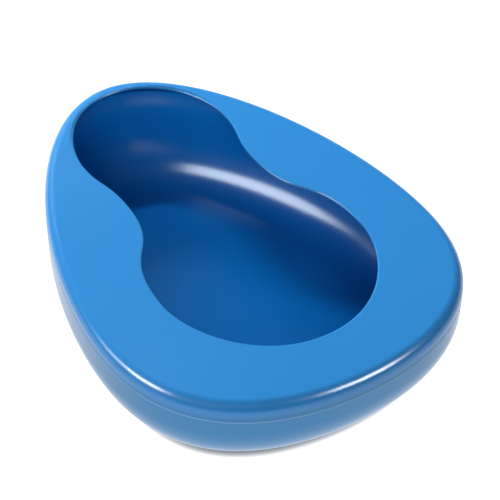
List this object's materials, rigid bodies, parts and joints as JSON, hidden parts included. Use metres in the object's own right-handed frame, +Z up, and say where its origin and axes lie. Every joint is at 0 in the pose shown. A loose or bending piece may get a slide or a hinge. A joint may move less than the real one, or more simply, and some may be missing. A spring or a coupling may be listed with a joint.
{
  "type": "bedpan",
  "caption": "Blue plastic bedpan with a flat, gently rising seat, a gourd-shaped opening and a deep pan with a rounded foot.",
  "frame": {"origin": "centre of the bounding box in plan, on the plane that the foot rests on", "axes": "+X across the pan, +Y from the wide, low end to the narrow, high end, +Z up"},
  "size_m": [0.305, 0.404, 0.0941],
  "materials": {
    "blue_plastic": "gloss"
  },
  "bodies": {
    "root": {"base_pan": "blue_plastic", "seat_shell": "blue_plastic"}
  },
  "joints": []
}
